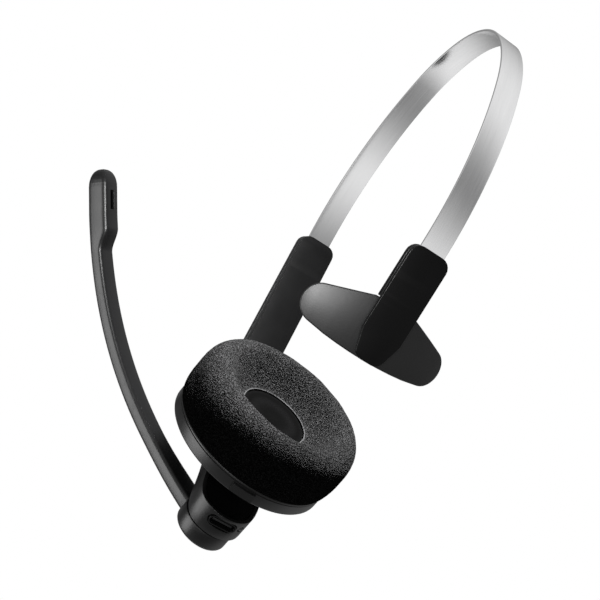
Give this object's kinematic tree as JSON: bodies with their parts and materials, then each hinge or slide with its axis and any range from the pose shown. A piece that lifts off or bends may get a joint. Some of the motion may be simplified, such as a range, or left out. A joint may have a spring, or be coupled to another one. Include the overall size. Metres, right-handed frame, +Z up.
{
  "type": "office headset",
  "caption": "One-ear office headset: steel spring headband, sliding arm, folding ear cup with foam cushion, temple pad and turning microphone boom.",
  "frame": {"origin": "middle of the steel band's section at its crown, where it rests on the head", "axes": "+Z up along the worn headset, -Y to the front where the boom points, -X to the ear cup"},
  "size_m": [0.1043, 0.1004, 0.1756],
  "materials": {
    "brushed_steel": "brushed along its length",
    "steel": "plain",
    "black_plastic": "satin moulded",
    "soft_rubber": "satin",
    "foam": "open-cell foam",
    "cloth": "fine cloth",
    "board_green": "satin",
    "cell_wrap": "foil",
    "light_clear": "clear"
  },
  "bodies": {
    "headband": {"headband_strip": "brushed_steel", "strip_end_stop": "black_plastic", "temple_arm_outer": "black_plastic", "temple_arm_inner": "black_plastic", "temple_pad": "soft_rubber", "temple_rivet_upper": "steel", "temple_rivet_lower": "steel"},
    "ear_arm": {"ear_arm_outer": "black_plastic", "ear_arm_inner": "black_plastic", "slide_bushing": "black_plastic", "arm_screw_upper": "steel", "arm_screw_lower": "steel"},
    "ear_cup": {"ear_plate": "black_plastic", "back_cover": "black_plastic", "speaker_housing": "black_plastic", "speaker_driver": "steel", "speaker_magnet": "steel", "speaker_cloth": "cloth", "foam_cushion": "foam", "pod_shell": "black_plastic", "pod_face": "black_plastic", "pod_screw_front": "steel", "pod_screw_rear": "steel", "battery": "cell_wrap", "circuit_board": "board_green", "port_shell": "steel", "port_tongue": "black_plastic", "status_light": "light_clear", "fold_pin": "steel", "fold_washer": "steel", "hub_axle": "steel"},
    "boom": {"boom_arm": "black_plastic", "mic_housing": "black_plastic", "mic_capsule": "steel"},
    "call_key": {"call_button": "soft_rubber"},
    "volume_up_key": {"volume_up_button": "soft_rubber"},
    "volume_down_key": {"volume_down_button": "soft_rubber"},
    "power_key": {"power_button": "soft_rubber"}
  },
  "joints": [
    {"name": "size_slide", "type": "slide", "parent": "headband", "child": "ear_arm", "axis": [0.1392, 0, -0.9903], "range_m": [0, 0.025]},
    {"name": "cup_fold", "type": "hinge", "parent": "ear_arm", "child": "ear_cup", "pos_m": [-0.03232, 0, -0.13992], "axis": [0, 1, 0], "range_deg": [-25, 68]},
    {"name": "boom_turn", "type": "hinge", "parent": "ear_cup", "child": "boom", "pos_m": [0.00137, 0, -0.16942], "axis": [0.4226, 0, 0.9063], "range_deg": [-12, 280]},
    {"name": "call_press", "type": "slide", "parent": "ear_cup", "child": "call_key", "axis": [0.4226, 0, 0.9063], "range_m": [0, 0.0004], "stiffness_N_per_m": 900},
    {"name": "volume_up_press", "type": "slide", "parent": "ear_cup", "child": "volume_up_key", "axis": [0.4226, 0, 0.9063], "range_m": [0, 0.0004], "stiffness_N_per_m": 900},
    {"name": "volume_down_press", "type": "slide", "parent": "ear_cup", "child": "volume_down_key", "axis": [0.4226, 0, 0.9063], "range_m": [0, 0.0004], "stiffness_N_per_m": 900},
    {"name": "power_press", "type": "slide", "parent": "ear_cup", "child": "power_key", "axis": [0.4226, 0, 0.9063], "range_m": [0, 0.0004], "stiffness_N_per_m": 900}
  ]
}
